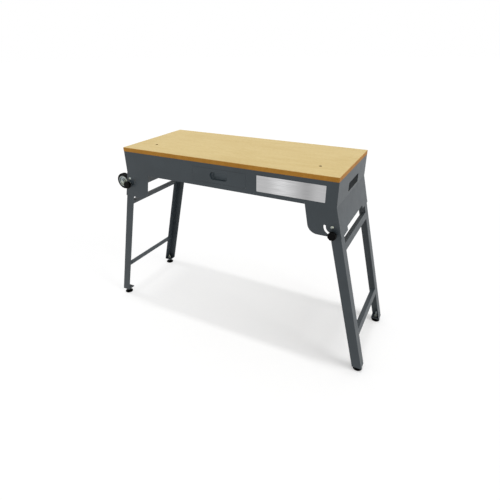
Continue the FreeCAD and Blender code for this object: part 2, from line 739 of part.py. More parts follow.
def bracket_fasteners():
    bolts, nuts = [], []
    inside = "(sheet_metal + bracket_head_height)"
    for number, step in enumerate("-+"):
        z = f"-wheel_drop {step} bracket_bolt_spacing / 2"
        shank = rod(f"bracket_shank_{number}", "bracket_bolt_radius", f"bracket_metal + {inside}",
                    ("-" + inside, "-bracket_bolt_y", z), ALONG_X)
        head = hexagon(f"bracket_head_{number}", "bracket_head_radius", "bracket_head_height",
                       ("bracket_metal", "-bracket_bolt_y", z), ALONG_X)
        nut = hexagon(f"bracket_nut_body_{number}", "bracket_head_radius", "bracket_head_height",
                      ("-" + inside, "-bracket_bolt_y", z), ALONG_X)
        bore = rod(f"bracket_nut_bore_{number}", "bracket_bolt_radius",
                   "bracket_head_height + 2 * cut_overrun",
                   (f"-{inside} - cut_overrun", "-bracket_bolt_y", z), ALONG_X)
        bolts.append(join(f"bracket_bolt_{number}", [shank, head]))
        nuts.append(remove(f"bracket_nut_{number}", nut, [bore]))
    return (seat(group("bracket_bolt_set", bolts), "half_length", "0", "waist", turn=LEANING),
            seat(group("bracket_nut_set", nuts), "half_length", "0", "waist", turn=LEANING))


def wheel_mountings():
    bracket = mirror("bracket_at_left", wheel_bracket(), ACROSS_X)
    keep(bracket, "front_wheel_bracket")
    keep(mirror("bracket_at_back", bracket, ACROSS_Y), "back_wheel_bracket")
    for kind, pieces in zip(("bolts", "nuts"), bracket_fasteners()):
        at_left = mirror(f"bracket_{kind}_at_left", pieces, ACROSS_X)
        keep(both(f"bracket_{kind}_pair", at_left, ACROSS_Y), f"wheel_bracket_{kind}")
    nut_y = "(bracket_y - bracket_metal)"
    shank = rod("axle_shank", "axle_radius", f"axle_y - {nut_y} + axle_nut_height",
                ("-wheel_x", "-axle_y", "wheel_z"), ALONG_Y)
    head = hexagon("axle_head", "axle_head_radius", "axle_head_height",
                   ("-wheel_x", "-axle_y - axle_head_height", "wheel_z"), ALONG_Y)
    nut = hexagon("axle_nut_body", "axle_head_radius", "axle_nut_height",
                  ("-wheel_x", "-" + nut_y, "wheel_z"), ALONG_Y)
    bore = rod("axle_nut_bore", "axle_radius", "axle_nut_height + 2 * cut_overrun",
               ("-wheel_x", f"-{nut_y} - cut_overrun", "wheel_z"), ALONG_Y)
    keep(both("axle_bolt_pair", join("axle_bolt", [shank, head]), ACROSS_Y), "wheel_axle_bolts")
    keep(both("axle_nut_pair", remove("axle_nut", nut, [bore]), ACROSS_Y), "wheel_axle_nuts")


def both_halves(upper):
    """Whole profile of a wheel piece from its upper half, listed down to the middle plane."""
    return upper + [(radius, f"-({height})") for radius, height in reversed(upper)]


def transport_wheels():
    rim = "(wheel_radius - tyre_wall)"
    tyre = [(rim, "tyre_width / 2"), ("wheel_radius - tyre_crown", "tyre_width / 2"),
            ("wheel_radius - tyre_crown_rise", "tyre_width / 2 - tyre_crown_rise"),
            ("wheel_radius", "tyre_width / 2 - tyre_crown")]
    hub = [("bush_radius", "hub_width / 2"), ("hub_boss_radius", "hub_width / 2"),
           ("hub_boss_radius + hub_taper", "hub_web / 2"), (rim + " - hub_rim - hub_taper", "hub_web / 2"),
           (rim + " - hub_rim", "tyre_width / 2"), (rim, "tyre_width / 2")]
    bush = [("axle_radius + running_fit", "hub_width / 2"), ("bush_radius", "hub_width / 2")]
    for row, face, turn in (("front", "-", TOWARD_FRONT), ("back", "", ALONG_Y)):
        for kind, upper in (("tyre", tyre), ("hub", hub), ("bush", bush)):
            body = revolve(f"{row}_{kind}_round", both_halves(upper))
            keep(seat(body, "-wheel_x", face + "wheel_y", "wheel_z", turn=turn), f"{row}_wheel_{kind}")


# Drawer, its runners under the top and its pull.
def pan(name, grown, depth):
    """Rounded block for the pull, open to the front, its outline grown on all sides."""
    body = plate(name, "XZ_Plane", (f"-pull_length / 2 - {grown}", f"pull_bottom - {grown}"),
                 (f"pull_length / 2 + {grown}", f"pull_top + pull_hook + {grown}"), depth,
                 f"pull_corner + {grown}")
    dress(body, "Fillet", name + "_back_edge", lambda edge: edge.CenterOfMass.y > -SAME,
          Radius=f"pull_round + {grown}")
    return body


def drawer():
    front = plate("front_face", "XZ_Plane", ("-drawer_front_length / 2", "front_bottom"),
                  ("drawer_front_length / 2", "front_top"), "sheet_metal", "drawer_gap")
    mouth = plate("pull_mouth", "XZ_Plane", ("-pull_length / 2", "pull_bottom"),
                  ("pull_length / 2", "pull_top"), "sheet_metal + 2 * cut_overrun", "pull_corner")
    keep(remove("front_with_mouth", seat(front, y="-panel_inner"),
                [seat(mouth, y="-panel_inner + cut_overrun")]), "drawer_front")
    shell = seat(pan("pull_shell", "pull_wall", "pull_depth + pull_wall"),
                 y="-panel_inner + pull_depth + pull_wall")
    room = seat(pan("pull_room", "0", "pull_depth + cut_overrun"), y="-panel_inner + pull_depth")
    keep(remove("pull_pan", shell, [room]), "drawer_pull")
    outer = block("tray_outer", ("-tray_half", "-panel_inner", "tray_bottom"),
                  ("2 * tray_half", "drawer_depth", "drawer_height"))
    inner = block("tray_inner", ("-tray_half + drawer_metal", "-panel_inner - cut_overrun",
                                 "tray_bottom + drawer_metal"),
                  ("2 * (tray_half - drawer_metal)", "drawer_depth - drawer_metal + cut_overrun",
                   "drawer_height"))
    keep(remove("tray_hollow", outer, [inner]), "drawer_tray")
    bar = block("slide_bar", ("tray_half", "-panel_inner", "tray_top - slide_bar"),
                ("slide_bar", "drawer_depth", "slide_bar"))
    keep(both("slide_bars", bar, ACROSS_X), "drawer_slides")


def drawer_runners():
    """Channels around the drawer's slide bars, hung from the top's underside."""
    low = "tray_top - slide_bar - slide_play - runner_metal"
    channel = block("runner_channel", ("runner_x + runner_metal - runner_depth", "-runner_half", low),
                    ("runner_depth", "2 * runner_half", "slide_bar + 2 * (slide_play + runner_metal)"))
    hollow = block("runner_hollow",
                   ("runner_x - runner_depth", "-runner_half - cut_overrun", low + " + runner_metal"),
                   ("runner_depth", "2 * (runner_half + cut_overrun)", "slide_bar + 2 * slide_play"))
    hanger = block("runner_hanger", ("runner_x", "-runner_half", "tray_top"),
                   ("runner_metal", "2 * runner_half", "deck - tray_top"))
    lip = block("runner_lip", ("runner_x", "-runner_half", "deck - runner_metal"),
                ("runner_depth", "2 * runner_half", "runner_metal"))
    runner = join("runner", [remove("runner_open", channel, [hollow]), hanger, lip])
    keep(runner, "right_drawer_runner")
    keep(mirror("runner_at_left", runner, ACROSS_X), "left_drawer_runner")


worktop()
worktop_screws()
casing()
name_plate()
leg_frame("right", "right_reach", "right_pivot_z", "right_end_height")
leg_frame("left", "left_reach", "left_pivot_z", "left_end_height")
pivot_fasteners()
knobs()
levelling_feet()
wheel_mountings()
transport_wheels()
drawer()
drawer_runners()
doc.recompute()

for thing in doc.Objects:
    if "Invalid" in thing.State or "Error" in thing.State:
        raise RuntimeError(f"{thing.Name} did not build: {thing.State}")
for part in PARTS:
    if part.Shape.isNull() or not part.Shape.isValid():
        raise RuntimeError(f"{part.Label} is not a valid shape")
os.makedirs("parts", exist_ok=True)
for part in PARTS:
    part.Shape.exportStep(f"parts/{part.Label}.step")
    print(f"{part.Label}: {len(part.Shape.Solids)} solids, {part.Shape.Volume:.0f} cubic mm")
print(len(PARTS), "sub-parts")
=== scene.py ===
import json
import math

import bmesh
import bpy
from mathutils import Matrix, Vector


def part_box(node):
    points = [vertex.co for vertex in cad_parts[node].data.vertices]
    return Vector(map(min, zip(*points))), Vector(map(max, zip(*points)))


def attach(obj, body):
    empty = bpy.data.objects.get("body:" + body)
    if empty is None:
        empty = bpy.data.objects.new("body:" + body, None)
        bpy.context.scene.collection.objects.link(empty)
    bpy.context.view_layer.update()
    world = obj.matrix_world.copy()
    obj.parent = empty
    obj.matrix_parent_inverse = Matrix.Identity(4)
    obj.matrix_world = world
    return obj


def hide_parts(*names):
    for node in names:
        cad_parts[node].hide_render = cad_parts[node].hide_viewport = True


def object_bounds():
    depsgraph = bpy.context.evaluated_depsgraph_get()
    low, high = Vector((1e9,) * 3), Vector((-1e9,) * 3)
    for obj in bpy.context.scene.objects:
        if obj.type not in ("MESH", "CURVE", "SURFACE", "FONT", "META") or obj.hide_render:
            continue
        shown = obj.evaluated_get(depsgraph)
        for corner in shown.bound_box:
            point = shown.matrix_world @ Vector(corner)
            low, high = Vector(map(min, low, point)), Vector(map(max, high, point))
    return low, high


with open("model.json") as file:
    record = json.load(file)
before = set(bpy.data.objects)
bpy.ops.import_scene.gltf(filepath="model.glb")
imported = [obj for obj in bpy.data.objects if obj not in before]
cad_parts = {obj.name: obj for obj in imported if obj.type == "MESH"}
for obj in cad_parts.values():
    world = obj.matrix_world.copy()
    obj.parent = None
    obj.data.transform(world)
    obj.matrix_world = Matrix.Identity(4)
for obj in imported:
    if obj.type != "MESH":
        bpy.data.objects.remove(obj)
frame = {"nodes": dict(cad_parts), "record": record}
cad_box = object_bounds()

# Folding workbench: a steel casing with a plywood top on two splayed leg frames. Metres, +X to the right
# end, -Y to the front, origin on the floor under the middle.
MM = 0.001
NODES = frame["nodes"]
SLOT_OF = {part["node"]: part["material_slot"] for part in frame["record"]["subparts"]}
SIDES = ("right", "left")
ROWS = ("front", "back")
LEAN = math.radians(14.25)

# Camera, worked out from the photograph's perspective.
PHOTO_PIXELS = 500
FOCAL_PIXELS = 387.934
SENSOR_WIDTH = 36
CAMERA_PLACE = (0.82704, -1.51316, 1.27800)
CAMERA_PITCH = 0.49935
CAMERA_YAW = 0.48392
CAMERA_ROLL = -0.00893


def stand(name, data):
    """New object in the scene, made from a mesh, a lamp or a lens."""
    thing = bpy.data.objects.new(name, data)
    bpy.context.scene.collection.objects.link(thing)
    return thing


def make_camera():
    lens = bpy.data.cameras.new("camera")
    lens.sensor_width = SENSOR_WIDTH
    lens.lens = FOCAL_PIXELS / PHOTO_PIXELS * SENSOR_WIDTH
    camera = stand("camera", lens)
    turn = (Matrix.Rotation(CAMERA_YAW, 4, "Z") @ Matrix.Rotation(math.pi / 2 - CAMERA_PITCH, 4, "X")
            @ Matrix.Rotation(CAMERA_ROLL, 4, "Z"))
    camera.matrix_world = Matrix.Translation(CAMERA_PLACE) @ turn
    bpy.context.scene.camera = camera


def tint(red, green, blue):
    """Colour given as it looks on a screen, 0 to 255, as the shader's linear values."""
    def linear(level):
        share = level / 255
        return share / 12.92 if share <= 0.04045 else ((share + 0.055) / 1.055) ** 2.4
    return (linear(red), linear(green), linear(blue), 1)


def shade(color, factor):
    return tuple(factor * part for part in color[:3]) + (1,)


# Materials. A Value is a socket whose Python arithmetic adds the Math nodes that it needs.
class Value:
    def __init__(self, shading, socket):
        self.shading = shading
        self.socket = socket

    def maths(self, operation, first, second=0.0):
        return self.shading.add("ShaderNodeMath", {"operation": operation}, {0: first, 1: second})

    def __add__(self, other):
        return self.maths("ADD", self, other)

    def __sub__(self, other):
        return self.maths("SUBTRACT", self, other)

    def __rsub__(self, other):
        return self.maths("SUBTRACT", other, self)

    def __mul__(self, other):
        return self.maths("MULTIPLY", self, other)

    def __truediv__(self, other):
        return self.maths("DIVIDE", self, other)

    def __abs__(self):
        return self.maths("ABSOLUTE", self)

    __radd__ = __add__
    __rmul__ = __mul__

    def larger(self, other):
        return self.maths("MAXIMUM", self, other)

    def rise(self, low, high):
        """0 below low, 1 above high, smooth between."""
        return self.shading.add("ShaderNodeMapRange", {"interpolation_type": "SMOOTHSTEP"},
                                {"Value": self, "From Min": low, "From Max": high})

    def ranged(self, low, high, at_low, at_high):
        """at_low below low, at_high above high, in proportion between."""
        return self.shading.add("ShaderNodeMapRange", {}, {"Value": self, "From Min": low, "From Max": high,
                                                           "To Min": at_low, "To Max": at_high})

    def wave(self, period):
        """0 to 1 and back once in each period."""
        return self.maths("PINGPONG", self / (period / 2), 1.0)

    def bump(self, center, reach):
        """1 at the centre, falling smoothly to 0 within its reach on both sides."""
        return 1 - abs(self - center).rise(0, reach)


class Shading:
    """The nodes of a material or of the world, all made by one method."""

    def __init__(self, tree):
        self.tree = tree

    def put(self, socket, value):
        if isinstance(value, Value):
            self.tree.links.new(value.socket, socket)
        else:
            socket.default_value = value

    def add(self, kind, settings, inputs, output=0):
        """Add a node: its settings first, then the values or links of its sockets."""
        node = self.tree.nodes.new(kind)
        for name, setting in settings.items():
            setattr(node, name, setting)
        for socket, value in inputs.items():
            self.put(node.inputs[socket], value)
        return Value(self, node.outputs[output]) if node.outputs else None

    def several(self, kind, inputs, *outputs):
        """Several outputs of one new node."""
        node = self.add(kind, {}, inputs).socket.node
        return [Value(self, node.outputs[output]) for output in outputs]

    def parts(self, vector):
        return self.several("ShaderNodeSeparateXYZ", {"Vector": vector}, "X", "Y", "Z")


class Finish(Shading):
    """One material: a Principled shader and the nodes that vary it over the surface."""

    def __init__(self, name, **constants):
        self.material = bpy.data.materials.new(name)
        self.material.use_nodes = True
        super().__init__(self.material.node_tree)
        self.shader = self.tree.nodes["Principled BSDF"]
        self.set(**constants)
        self.spot, self.facing = self.several("ShaderNodeTexCoord", {}, "Object", "Normal")

    def set(self, **values):
        for socket, value in values.items():
            self.put(self.shader.inputs[socket.replace("_", " ")], value)

    def noise(self, per_metre, detail=2):
        """Cloudy pattern of so many marks a metre."""
        return self.add("ShaderNodeTexNoise", {}, {"Vector": self.spot, "Scale": per_metre, "Detail": detail})

    def streaks(self, *per_metre, detail, distortion=0.0):
        """Cloudy pattern of so many marks a metre along each of X, Y and Z."""
        stretched = self.add("ShaderNodeMapping", {}, {"Vector": self.spot, "Scale": per_metre})
        return self.add("ShaderNodeTexNoise", {}, {"Vector": stretched, "Scale": 1, "Detail": detail,
                                                   "Distortion": distortion})

    def blend(self, factor, first, second):
        """Colour between first, where factor is 0, and second, where it is 1."""
        return self.add("ShaderNodeMix", {"data_type": "RGBA"}, {0: factor, 6: first, 7: second}, output=2)

    def rounded_normal(self, radius):
        return self.add("ShaderNodeBevel", {"samples": 6}, {"Radius": radius})

    def wear_and_highlight_edges(self, rounded):
        """1 along the edges that the rounded normal bends over, 0 on open faces."""
        flat = self.add("ShaderNodeNewGeometry", {}, {}, output="Normal")
        likeness = self.add("ShaderNodeVectorMath", {"operation": "DOT_PRODUCT"}, {0: rounded, 1: flat},
                            output="Value")
        return (1 - likeness).rise(0.01, 0.2)

    def relief(self, height, strength, depth, normal=None):
        inputs = {"Height": height, "Strength": strength, "Distance": depth}
        if normal is not None:
            inputs["Normal"] = normal
        self.set(Normal=self.add("ShaderNodeBump", {}, inputs))


PAINT = tint(49, 57, 62)
# Drawer pull painted this much lighter than the casing: painted light that lifts the shade in its recess.
PULL_PAINTED_LIGHT = 1.7
# Primer showing at worn edges, which also serves as a painted highlight along them.
PRIMER_AND_EDGE_HIGHLIGHT = tint(92, 98, 102)
VENEER = tint(214, 193, 138)
VENEER_DARK = tint(192, 165, 103)
PLY_EDGE = tint(193, 142, 60)
PLY_CORE = tint(146, 92, 22)
ZINC = tint(158, 166, 168)
ZINC_BLOOM = tint(172, 175, 155)
PLASTIC = tint(4, 4, 4)
RUBBER = tint(12, 12, 13)
PLATE = tint(190, 190, 191)
PLY_COUNT = 9


def casing_paint(name="casing_paint", coat=PAINT):
    """Satin powder coat: slight orange peel, faint clouding, edges a little thinner and brighter: worn
    towards primer, with a painted highlight along them.
    """
    paint = Finish(name, Specular_IOR_Level=0.42)
    cloud = paint.noise(9, detail=3).rise(0.3, 0.7)
    rounded = paint.rounded_normal(radius=0.9 * MM)
    # Edges worn towards primer and lightened as a painted highlight.
    worn_and_lit_edges = paint.wear_and_highlight_edges(rounded) * paint.noise(60).rise(0.35, 0.7)
    tone = paint.blend(cloud, shade(coat, 0.92), shade(coat, 1.08))
    paint.set(Base_Color=paint.blend(0.35 * worn_and_lit_edges, tone, PRIMER_AND_EDGE_HIGHLIGHT), Roughness=0.4 + 0.12 * paint.noise(30))
    paint.relief(paint.noise(750), strength=0.12, depth=0.3 * MM, normal=rounded)
    return paint


def plywood():
    """Birch plywood: rotary-cut face with long fibres along the bench, plies showing on the edges."""
    wood = Finish("plywood", Specular_IOR_Level=0.12)
    x, y, z = wood.parts(wood.spot)
    across, _, upward = [abs(part) for part in wood.parts(wood.facing)]
    up = upward.rise(0.6, 0.8)

    figure = wood.streaks(3.5, 17, 1, detail=6, distortion=1.6).rise(0.3, 0.75)
    fibres = wood.streaks(30, 1300, 1, detail=3)
    flecks = wood.streaks(70, 900, 1, detail=1).rise(0.64, 0.74)
    mottle = wood.streaks(70, 130, 1, detail=3).rise(0.3, 0.7)
    face = wood.blend(0.3 * figure + 0.3 * fibres + 0.2 * mottle, VENEER, VENEER_DARK)
    face = wood.blend(0.3 * flecks, face, shade(VENEER_DARK, 0.6))

    deck, top = [corner.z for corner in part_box("worktop")]
    ply = (z - deck).wave(2 * (top - deck) / PLY_COUNT).rise(0.42, 0.58)
    saw = wood.streaks(260, 260, 30, detail=3)
    stain = wood.noise(14, detail=3).rise(0.4, 0.7)
    edge = wood.blend(0.75 * ply + 0.25 * saw, PLY_EDGE, PLY_CORE)
    edge = wood.blend(0.4 * across.rise(0.6, 0.8) + 0.3 * stain, edge, shade(PLY_CORE, 0.9))

    # Painted shade in the tool holes: their walls darken to a quarter of the ply core's colour.
    holes = next(mount for mount in frame["record"]["mounts"] if mount["name"] == "tool_holes")
    aside = abs(x) - holes["dims"]["spacing_x_mm"] / 2 * MM
    ahead = y - holes["pos_m"][1]
    radius = holes["dims"]["hole_r_mm"] * MM
    bored = 1 - (aside * aside + ahead * ahead).rise(radius ** 2, (1.5 * radius) ** 2)
    edge = wood.blend(bored, edge, shade(PLY_CORE, 0.25))

    wood.set(Base_Color=wood.blend(up, edge, face), Roughness=0.5 + 0.12 * fibres - 0.06 * up)
    wood.relief(0.6 * fibres + 0.4 * saw * (1 - up), strength=0.1, depth=0.3 * MM,
                normal=wood.rounded_normal(radius=0.8 * MM))
    return wood


def zinc():
    """Zinc-plated steel with a faint yellow bloom."""
    metal = Finish("zinc", Metallic=1)
    bloom = metal.noise(55, detail=3).rise(0.4, 0.7)
    metal.set(Base_Color=metal.blend(bloom, ZINC, ZINC_BLOOM), Roughness=0.26 + 0.2 * metal.noise(240))
    metal.relief(metal.noise(900), strength=0.06, depth=0.2 * MM,
                 normal=metal.rounded_normal(radius=0.4 * MM))
    return metal


def black_plastic():
    """Moulded plastic with a fine grain."""
    plastic = Finish("black_plastic", Specular_IOR_Level=0.06)
    sheen = plastic.noise(70)
    plastic.set(Base_Color=plastic.blend(sheen, shade(PLASTIC, 0.8), shade(PLASTIC, 1.6)),
                Roughness=0.3 + 0.14 * sheen)
    plastic.relief(plastic.noise(1400), strength=0.15, depth=0.2 * MM)
    return plastic


def tyre_rubber():
    """Solid rubber with a little dust on it."""
    rubber = Finish("tyre", Specular_IOR_Level=0.15)
    dust = rubber.noise(40, detail=3)
    rubber.set(Base_Color=rubber.blend(dust.rise(0.4, 0.8), RUBBER, shade(RUBBER, 2.4)),
               Roughness=0.6 + 0.2 * dust)
    rubber.relief(rubber.noise(1100), strength=0.2, depth=0.3 * MM)
    return rubber


def brushed_plate():
    """Bare aluminium plate, brushed along its length, with a painted bright and a painted dark patch of
    reflection.
    """
    plate = Finish("bare_plate", Metallic=1, Specular_IOR_Level=0.5)
    strokes = plate.streaks(14, 1, 1100, detail=4)
    low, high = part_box("name_plate")
    along = (plate.parts(plate.spot)[0] - low.x) / (high.x - low.x)
    # Painted reflection: a bright patch and a dark patch at fixed places along the plate.
    tone = plate.blend(along.bump(center=0.38, reach=0.26), PLATE, shade(PLATE, 1.45))
    tone = plate.blend(along.bump(center=0.74, reach=0.18), tone, shade(PLATE, 0.68))
    plate.set(Base_Color=plate.blend(strokes.rise(0.35, 0.75), tone, shade(PLATE, 0.85)),
              Roughness=0.3 + 0.25 * strokes)
    plate.relief(strokes, strength=0.12, depth=0.1 * MM, normal=plate.rounded_normal(radius=0.3 * MM))
    return plate


# Building functions for the pieces. Vertices that are nearer than the first two distances are merged.
SAME_PLACE = MM / 1000
SAME_CAD_PLACE = MM / 100
SHARP_EDGE = math.radians(32)
HEX_SIDE = math.pi / 3
HEAD_SIDES = 36
ROUND_SIDES = 32
UPSIDE_DOWN = Matrix.Rotation(math.pi, 4, "X")


def fluted(radius, count, depth):
    """Radius by angle of a grip with rounded hollows cut in it."""
    return lambda angle: radius - depth * (0.5 + 0.5 * math.cos(count * angle)) ** 3


def half_flats(radius):
    """Half a hexagon's width across its flats, from its radius at the corners."""
    return radius * math.cos(HEX_SIDE / 2)


def six_sided(radius):
    """Radius by angle of a hexagon, from its radius at the corners."""
    return lambda angle: half_flats(radius) / math.cos(angle % HEX_SIDE - HEX_SIDE / 2)


def rims(shape):
    return [edge for edge in shape.edges if edge.is_boundary]


def stack(rings, sides, bored=False):
    """Shape about the Z axis from rings of height and radius; a radius may depend on the angle."""
    shape = bmesh.new()
    bmesh.ops.create_circle(shape, segments=sides, radius=1)
    verts, edges = shape.verts[:], shape.edges[:]
    for index, (height, radius) in enumerate(rings):
        if index:
            grown = bmesh.ops.extrude_edge_only(shape, edges=edges)["geom"]
            verts = [item for item in grown if isinstance(item, bmesh.types.BMVert)]
            edges = [item for item in grown if isinstance(item, bmesh.types.BMEdge)]
        for vert in verts:
            angle = math.atan2(vert.co.y, vert.co.x)
            reach = radius(angle) if callable(radius) else radius
            vert.co = (reach * math.cos(angle), reach * math.sin(angle), height)
    if bored:
        bmesh.ops.remove_doubles(shape, verts=shape.verts, dist=SAME_PLACE)
    else:
        bmesh.ops.holes_fill(shape, edges=rims(shape))
    return shape


def arc(height, radius, bend, start, end, steps=4):
    """Rings of a rounded stretch about a centre, from one angle in degrees to another."""
    angles = [math.radians(start + (end - start) * step / steps) for step in range(steps + 1)]
    return [(height + bend * math.sin(angle), radius + bend * math.cos(angle)) for angle in angles]


def mirrored(rings):
    """The same rings below height zero, in the opposite order."""
    return [(-height, reach) for height, reach in reversed(rings)]


def gather(shapes):
    """One shape from several."""
    whole = bmesh.new()
    for shape in shapes:
        mesh = bpy.data.meshes.new("part")
        shape.to_mesh(mesh)
        whole.from_mesh(mesh)
        bpy.data.meshes.remove(mesh)
        shape.free()
    return whole


def placed(shape, place):
    bmesh.ops.transform(shape, matrix=place, verts=shape.verts)
    return shape


def piece(name, shape, slot, body, *nodes):
    """Finish a shape as an object that rides on a body and stands for CAD nodes."""
    bmesh.ops.remove_doubles(shape, verts=shape.verts, dist=SAME_PLACE)
    bmesh.ops.recalc_face_normals(shape, faces=shape.faces)
    mesh = bpy.data.meshes.new(name)
    shape.to_mesh(mesh)
    shape.free()
    mesh.shade_smooth()
    mesh.set_sharp_from_angle(angle=SHARP_EDGE)
    mesh.materials.append(FINISHES[slot].material)
    thing = stand(name, mesh)
    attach(thing, body)
    if nodes:
        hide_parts(*nodes)


def solids(node, place=Matrix()):
    """Lowest and highest corner of each separate solid in a CAD node, along the axes of a place."""
    shape = bmesh.new()
    shape.from_mesh(NODES[node].data)
    bmesh.ops.transform(shape, matrix=place.inverted(), verts=shape.verts)
    bmesh.ops.remove_doubles(shape, verts=shape.verts, dist=SAME_CAD_PLACE)
    waiting, boxes = set(shape.verts), []
    while waiting:
        island, fresh = set(), {waiting.pop()}
        while fresh:
            island |= fresh
            fresh = {edge.other_vert(vert) for vert in fresh for edge in vert.link_edges} - island
        waiting -= island
        corners = [[pick(vert.co[axis] for vert in island) for axis in range(3)] for pick in (min, max)]
        boxes.append([Vector(corner) for corner in corners])
    shape.free()
    return boxes


def outward(y):
    """Turn that points local +Z to the front or the back, away from the bench's middle."""
    return Matrix.Rotation(math.radians(90 if y < 0 else -90), 4, "X")


def middle(low, high):
    return (low + high) / 2


# Fasteners. Each stands on its seat at height zero.
def thread(radius, pitch, low, high):
    """Screw thread between two heights."""
    turn_steps = 16
    turns = math.ceil((high - low) / pitch) + 2
    root = radius - 0.6 * pitch
    shape = bmesh.new()
    profile = [(root, 0), (root, 0.1), (radius, 0.42), (radius, 0.58), (root, 0.9), (root, 1)]
    verts = [shape.verts.new((reach, 0, low + (share - 1) * pitch)) for reach, share in profile]
    edges = [shape.edges.new(pair) for pair in zip(verts, verts[1:])]
    bmesh.ops.spin(shape, geom=verts + edges, cent=(0, 0, 0), axis=(0, 0, 1), angle=2 * math.pi * turns,
                   steps=turns * turn_steps, dvec=(0, 0, pitch / turn_steps), use_merge=False)
    bmesh.ops.remove_doubles(shape, verts=shape.verts, dist=SAME_PLACE)
    for height, outer in ((low, False), (high, True)):
        everything = shape.verts[:] + shape.edges[:] + shape.faces[:]
        bmesh.ops.bisect_plane(shape, geom=everything, plane_co=(0, 0, height), plane_no=(0, 0, 1),
                               clear_inner=not outer, clear_outer=outer)
    bmesh.ops.holes_fill(shape, edges=rims(shape))
    return shape


def rod(radius, low, high, tip=0.4 * MM):
    """Plain shank with a bevelled tip."""
    return stack([(low, radius), (high - tip, radius), (high, radius - tip)], ROUND_SIDES)


def hexagon_head(radius, height):
    """Bolt head with its corners turned off at the top."""
    flat = half_flats(radius)
    corner = radius - flat
    turned = height - 0.35 * corner
    return stack([(0, six_sided(radius)), (turned - 0.4 * corner, six_sided(radius)),
                  (turned, lambda angle: min(six_sided(radius)(angle), 0.985 * radius)),
                  (height, 0.93 * flat)], HEAD_SIDES)


def nut(radius, height, bore):
    """Nut with its corners turned off and its bore countersunk."""
    flat = half_flats(radius)
    turned, sink = 0.55 * (radius - flat), 0.6 * MM
    rings = [(sink, bore), (0, bore + sink), (0, 0.95 * flat), (turned, six_sided(radius)),
             (height - turned, six_sided(radius)), (height, 0.95 * flat), (height, bore + sink),
             (height - sink, bore), (sink, bore)]
    return stack(rings, HEAD_SIDES, bored=True)


def button_head(radius, height, socket):
    """Low domed head with a six-sided socket."""
    lip, bevel = 0.1 * MM, 0.2 * MM
    dome = [(height * math.sin(angle), radius * math.cos(angle) ** 0.8)
            for angle in (0.0, 0.25, 0.5, 0.75, 1.0)]
    top = dome[-1][0]
    mouth = [(top + lip, 1.08 * socket), (top - bevel, six_sided(socket)), (0.4 * height, six_sided(socket))]
    return stack([(0, 0.97 * radius)] + dome + mouth, HEAD_SIDES)


def carriage_head(radius, height):
    """Smooth mushroom head."""
    skirt, bevel = 0.5 * MM, 0.6 * MM
    dome = [(skirt + (height - skirt) * math.sin(angle), radius * math.cos(angle))
            for angle in (0.3, 0.6, 0.9, 1.2, 1.45)]
    return stack([(0, radius - bevel), (skirt, radius)] + dome, HEAD_SIDES)


def sideways_bolts(node, head, head_height, shank_radius, head_outside=True):
    """Bolts through the sides, in place of a node's solids, with their heads outside or inside."""
    bolts = []
    for low, high in solids(node):
        spot = middle(low, high)
        at_head, at_tip = (low.y, high.y) if (spot.y < 0) == head_outside else (high.y, low.y)
        seat = at_head + math.copysign(head_height, at_tip - at_head)
        turn = Matrix.Translation((spot.x, seat, spot.z)) @ outward(at_head - at_tip)
        bolts.append(placed(head(), turn))
        bolts.append(placed(rod(shank_radius, 0, abs(seat - at_tip)), turn @ UPSIDE_DOWN))
    return gather(bolts)


def sideways_nuts(node, radius, bore):
    """Nuts on bolts through the sides, in place of a node's solids."""
    nuts = []
    for low, high in solids(node):
        spot = middle(low, high)
        seat = low.y if spot.y < 0 else high.y
        turn = Matrix.Translation((spot.x, seat, spot.z)) @ outward(spot.y) @ UPSIDE_DOWN
        nuts.append(placed(nut(radius, high.y - low.y, bore), turn))
    return gather(nuts)


def pivot_hardware():
    """Button-head bolts that the leg frames turn on, and their nuts."""
    head_height, head_radius, socket = 4 * MM, 6.5 * MM, 2.6 * MM
    shank_radius, nut_radius = 4 * MM, 7.5 * MM
    bolts = sideways_bolts("pivot_bolts", lambda: button_head(head_radius, head_height, socket), head_height,
                           shank_radius)
    piece("pivot_bolt_set", bolts, "zinc", "bench", "pivot_bolts")
    piece("pivot_nut_set", sideways_nuts("pivot_nuts", nut_radius, shank_radius), "zinc", "bench",
          "pivot_nuts")


def clamp_hardware():
    """Carriage bolts whose heads lie inside the legs."""
    head_radius, head_height, shank_radius = 9 * MM, 4 * MM, 4 * MM
    for side in SIDES:
        node = side + "_clamp_bolts"
        bolts = sideways_bolts(node, lambda: carriage_head(head_radius, head_height), head_height,
                               shank_radius, head_outside=False)
        piece(side + "_carriage_bolts", bolts, "zinc", side + "_leg_frame", node)


def worktop_fasteners():
    """Pan-head screws up through the casing's flanges into the plywood."""
    head_radius, head_height, shank_radius, socket = 4 * MM, 2.4 * MM, 2 * MM, 1.3 * MM
    screws = []
    for low, high in solids("worktop_screws"):
        spot = middle(low, high)
        turn = Matrix.Translation((spot.x, spot.y, low.z + head_height))
        screws.append(placed(button_head(head_radius, head_height, socket), turn @ UPSIDE_DOWN))
        screws.append(placed(rod(shank_radius, 0, high.z - low.z - head_height), turn))
    piece("worktop_screw_set", gather(screws), "zinc", "bench", "worktop_screws")


def left_wall():
    """Place of the leaning wall at the left end, below the waist: local +Z points out of it, +X up it."""
    waist_drop = 96 * MM
    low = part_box("worktop")[0]
    return Matrix.Translation((low.x, 0, low.z - waist_drop)) @ Matrix.Rotation(LEAN - math.pi / 2, 4, "Y")


